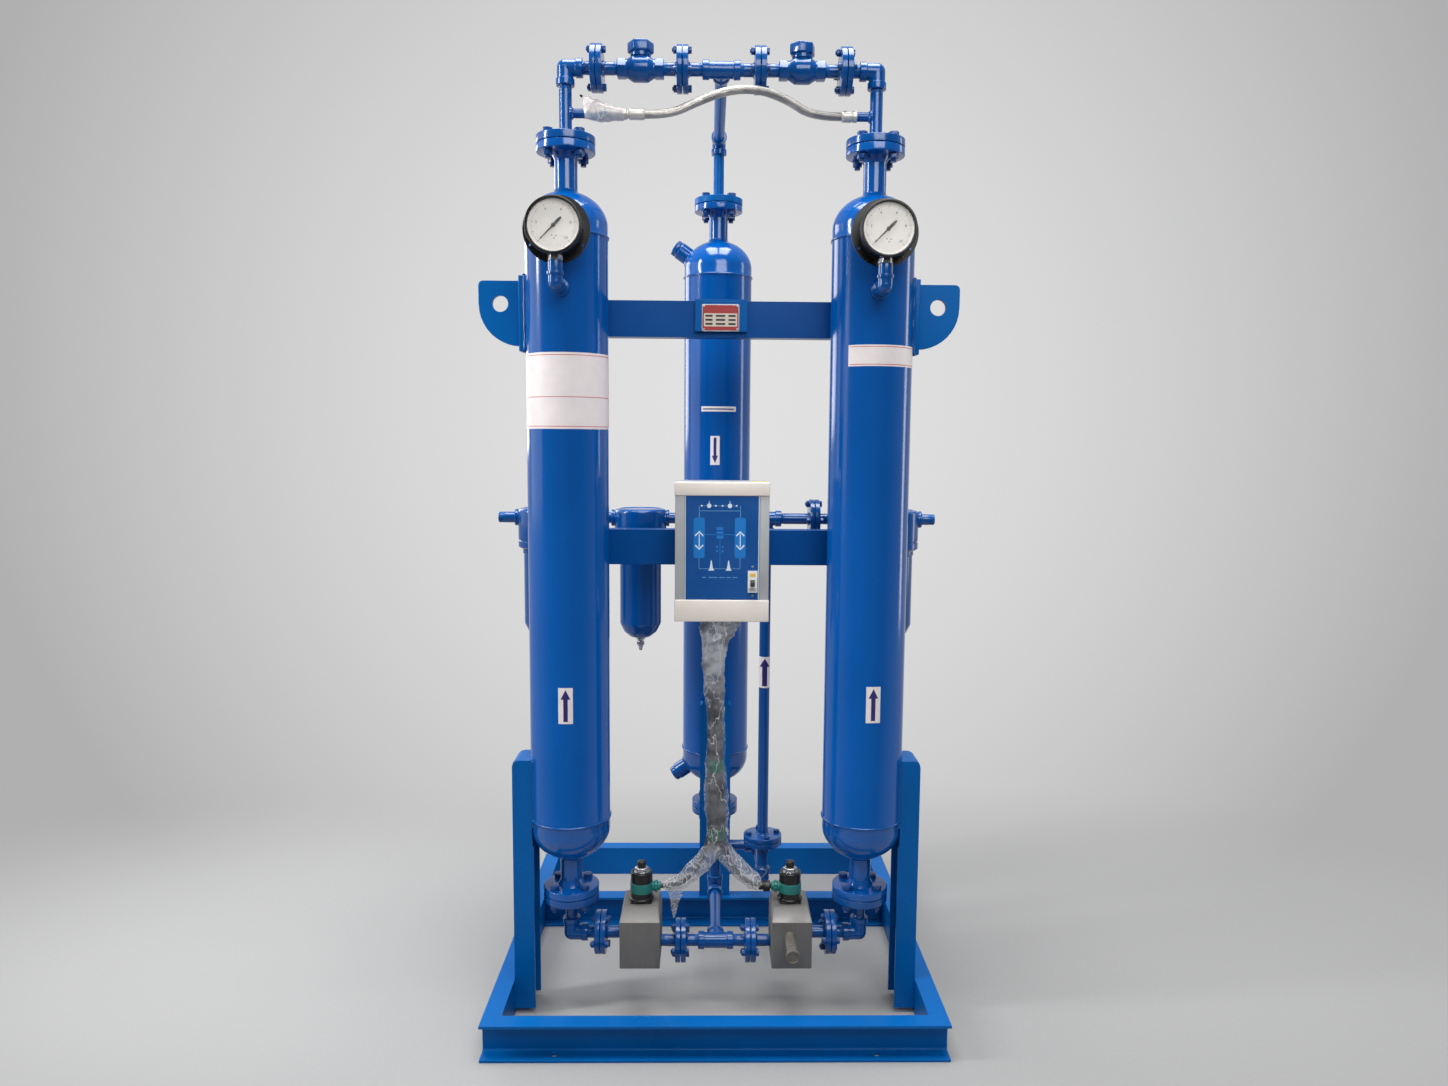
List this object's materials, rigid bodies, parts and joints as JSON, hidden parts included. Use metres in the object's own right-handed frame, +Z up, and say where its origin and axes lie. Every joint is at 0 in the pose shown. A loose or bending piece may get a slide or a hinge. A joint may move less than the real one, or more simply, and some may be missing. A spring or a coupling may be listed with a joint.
{
  "type": "desiccant air dryer",
  "caption": "Twin-tower desiccant air dryer on a welded channel skid, with dry-air vessel, flanged pipework, filters, gauges and a timer box.",
  "frame": {"origin": "middle of the skid's underside, at floor level", "axes": "+Z up, the front with the gauges and timer box faces -Y, +X to the right as seen from the front"},
  "size_m": [1.332, 1.2, 2.637],
  "materials": {
    "blue_paint": "gloss",
    "bare_steel": "satin",
    "desiccant": "matt",
    "bright_metal": "bright",
    "block_steel": "satin",
    "silencer_grey": "matt",
    "black_plastic": "satin",
    "green_plastic": "satin",
    "element_white": "matt",
    "gasket_rubber": "matt",
    "dial_white": "satin",
    "clear_glass": "clear",
    "pointer_black": "matt",
    "case_grey": "satin",
    "case_cream": "satin",
    "panel_blue": "satin",
    "board_green": "satin",
    "breaker_white": "satin",
    "hose_braid": "satin",
    "cable_grey": "satin"
  },
  "bodies": {
    "skid": {"base_front_channel": "blue_paint", "base_rear_channel": "blue_paint", "base_side_channels": "blue_paint", "base_cross_channel": "blue_paint", "side_legs": "blue_paint", "centre_leg": "blue_paint", "tie_bars": "blue_paint", "lifting_lugs": "blue_paint", "left_tower": "blue_paint", "right_tower": "blue_paint", "centre_vessel": "blue_paint", "vessel_plugs": "blue_paint", "bed_screens": "bare_steel", "desiccant_beds": "desiccant", "top_risers": "blue_paint", "manifold_elbows": "blue_paint", "top_flanged_nipples": "blue_paint", "check_valve_bodies": "blue_paint", "check_valve_caps": "blue_paint", "pipe_tees": "blue_paint", "vessel_top_pipes": "blue_paint", "hose_fittings": "bright_metal", "bottom_drop_pipes": "blue_paint", "bottom_flanged_nipples": "blue_paint", "valve_blocks": "block_steel", "exhaust_silencer": "silencer_grey", "solenoid_coils": "black_plastic", "solenoid_connectors": "green_plastic", "solenoid_nuts": "bright_metal", "filter_heads": "blue_paint", "filter_bowls": "blue_paint", "filter_elements": "element_white", "filter_drains": "bright_metal", "inlet_pipes": "blue_paint", "outlet_pipes": "blue_paint", "line_elbows": "blue_paint", "flange_gaskets": "gasket_rubber", "gauge_cases": "black_plastic", "gauge_dials": "dial_white", "gauge_glasses": "clear_glass", "gauge_stems": "blue_paint", "box_body": "case_grey", "box_cover": "case_cream", "mimic_panel": "panel_blue", "mounting_rail": "blue_paint", "timer_board": "board_green", "circuit_breaker": "breaker_white", "cable_glands": "black_plastic", "nameplate": "blue_paint", "purge_hose": "hose_braid", "left_cable": "cable_grey", "right_cable": "cable_grey"},
    "breaker_toggle_body": {"breaker_toggle": "black_plastic"},
    "left_check_flap_body": {"left_check_flap": "bare_steel"},
    "left_gauge_pointer_body": {"left_gauge_pointer": "pointer_black"},
    "left_plunger_body": {"left_plunger": "bare_steel"},
    "right_check_flap_body": {"right_check_flap": "bare_steel"},
    "right_gauge_pointer_body": {"right_gauge_pointer": "pointer_black"},
    "right_plunger_body": {"right_plunger": "bare_steel"}
  },
  "joints": [
    {"name": "left_check_swing", "type": "hinge", "parent": "skid", "child": "left_check_flap_body", "pos_m": [-0.22105, -0.32, 2.596], "axis": [0, -1, 0], "range_deg": [0, 40]},
    {"name": "right_check_swing", "type": "hinge", "parent": "skid", "child": "right_check_flap_body", "pos_m": [0.22105, -0.32, 2.596], "axis": [0, 1, 0], "range_deg": [0, 40]},
    {"name": "left_plunger_lift", "type": "slide", "parent": "skid", "child": "left_plunger_body", "axis": [0, 0, 1], "range_m": [0, 0.004], "stiffness_N_per_m": 300, "springref_m": -0.005},
    {"name": "right_plunger_lift", "type": "slide", "parent": "skid", "child": "right_plunger_body", "axis": [0, 0, 1], "range_m": [0, 0.004], "stiffness_N_per_m": 300, "springref_m": -0.005},
    {"name": "left_pointer_turn", "type": "hinge", "parent": "skid", "child": "left_gauge_pointer_body", "pos_m": [-0.408, -0.5525, 2.124], "axis": [0, 1, 0], "range_deg": [0, 270], "stiffness_Nm_per_rad": 0.0002, "springref_deg": -17.19},
    {"name": "right_pointer_turn", "type": "hinge", "parent": "skid", "child": "right_gauge_pointer_body", "pos_m": [0.408, -0.5525, 2.124], "axis": [0, 1, 0], "range_deg": [0, 270], "stiffness_Nm_per_rad": 0.0002, "springref_deg": -17.19},
    {"name": "breaker_switch", "type": "hinge", "parent": "skid", "child": "breaker_toggle_body", "pos_m": [0.0935, -0.361, 1.2225], "axis": [-1, 0, 0], "range_deg": [0, 44]}
  ]
}
